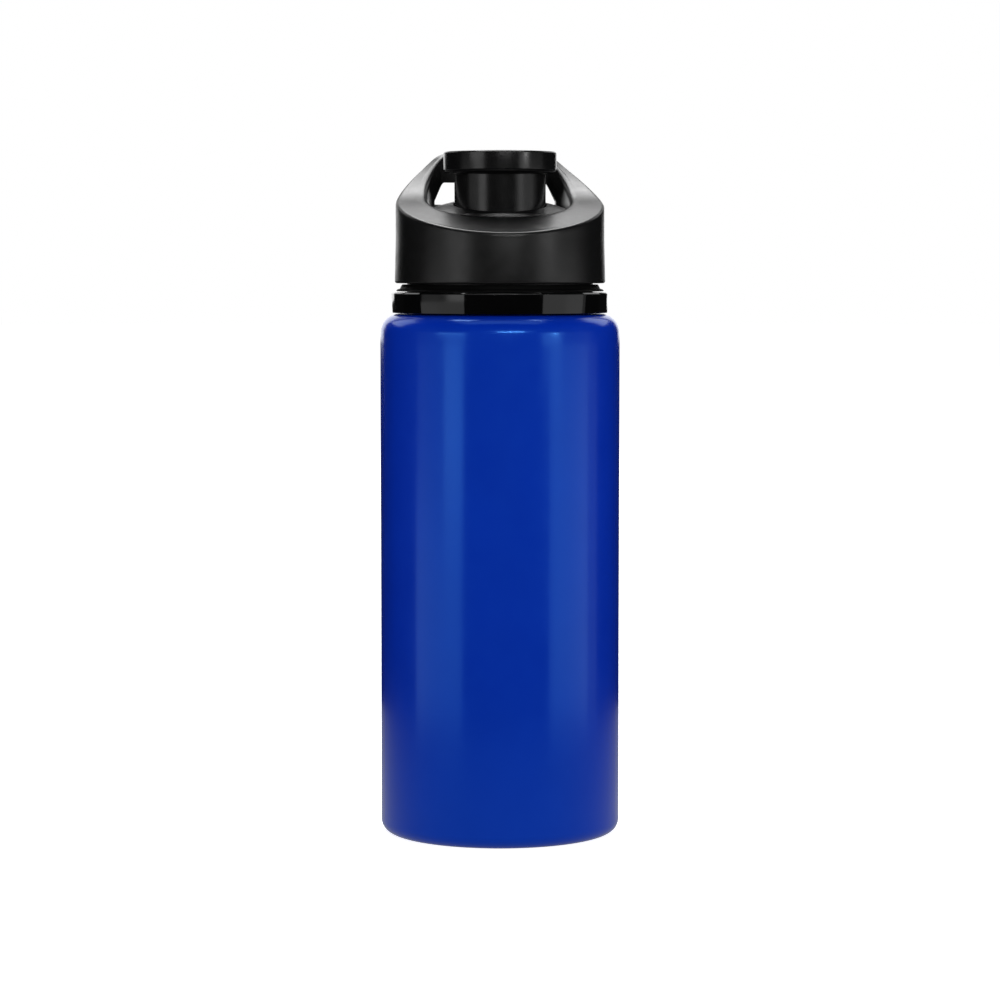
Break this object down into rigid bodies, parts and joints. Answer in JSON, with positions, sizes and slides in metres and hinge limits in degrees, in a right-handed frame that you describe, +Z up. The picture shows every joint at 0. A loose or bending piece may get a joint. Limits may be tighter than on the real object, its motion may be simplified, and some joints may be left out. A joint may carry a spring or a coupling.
{
  "type": "water bottle",
  "caption": "Slim blue aluminium sports bottle with a black screw lid, a carry loop with a rear slot, and a flanged push-pull drinking spout.",
  "frame": {"origin": "on the bottle's axis, at the surface it stands on", "axes": "+Z up along the axis; the lid's low front faces -Y and the carry loop is at +Y"},
  "size_m": [0.073, 0.073, 0.2086],
  "materials": {
    "blue_paint": "satin",
    "satin_black": "satin",
    "gloss_black": "gloss",
    "spout_black": "semi-gloss",
    "plain_black": "matte",
    "soft_black": "matte",
    "silicone": "satin"
  },
  "bodies": {
    "bottle": {"bottle_shell": "blue_paint", "neck_insert": "plain_black", "neck_seal": "silicone", "collar_ring": "gloss_black", "dust_seal": "soft_black"},
    "lid_lift_ring": {"lid_gasket": "silicone"},
    "lid": {"lid_shell": "satin_black", "lid_inner_cap": "plain_black", "spout_base": "plain_black", "spout_base_seal": "silicone", "spout_oring": "silicone", "spout_core": "plain_black", "vent_valve": "silicone"},
    "sleeve": {"spout_sleeve": "spout_black", "mouth_insert": "soft_black"}
  },
  "joints": [
    {"name": "lid_lift", "type": "slide", "parent": "bottle", "child": "lid_lift_ring", "axis": [0, 0, 1], "range_m": [0, 0.0054]},
    {"name": "lid_turn", "type": "hinge", "parent": "lid_lift_ring", "child": "lid", "pos_m": [0, 0, 0.1683], "axis": [0, 0, 1], "range_deg": [0, 540]},
    {"name": "spout_pull", "type": "slide", "parent": "lid", "child": "sleeve", "axis": [0, 0, 1], "range_m": [0, 0.0065]}
  ],
  "couplings": [
    {"joint": "lid_lift", "follows": "lid_turn", "m_per_rad": 0.00057296}
  ]
}
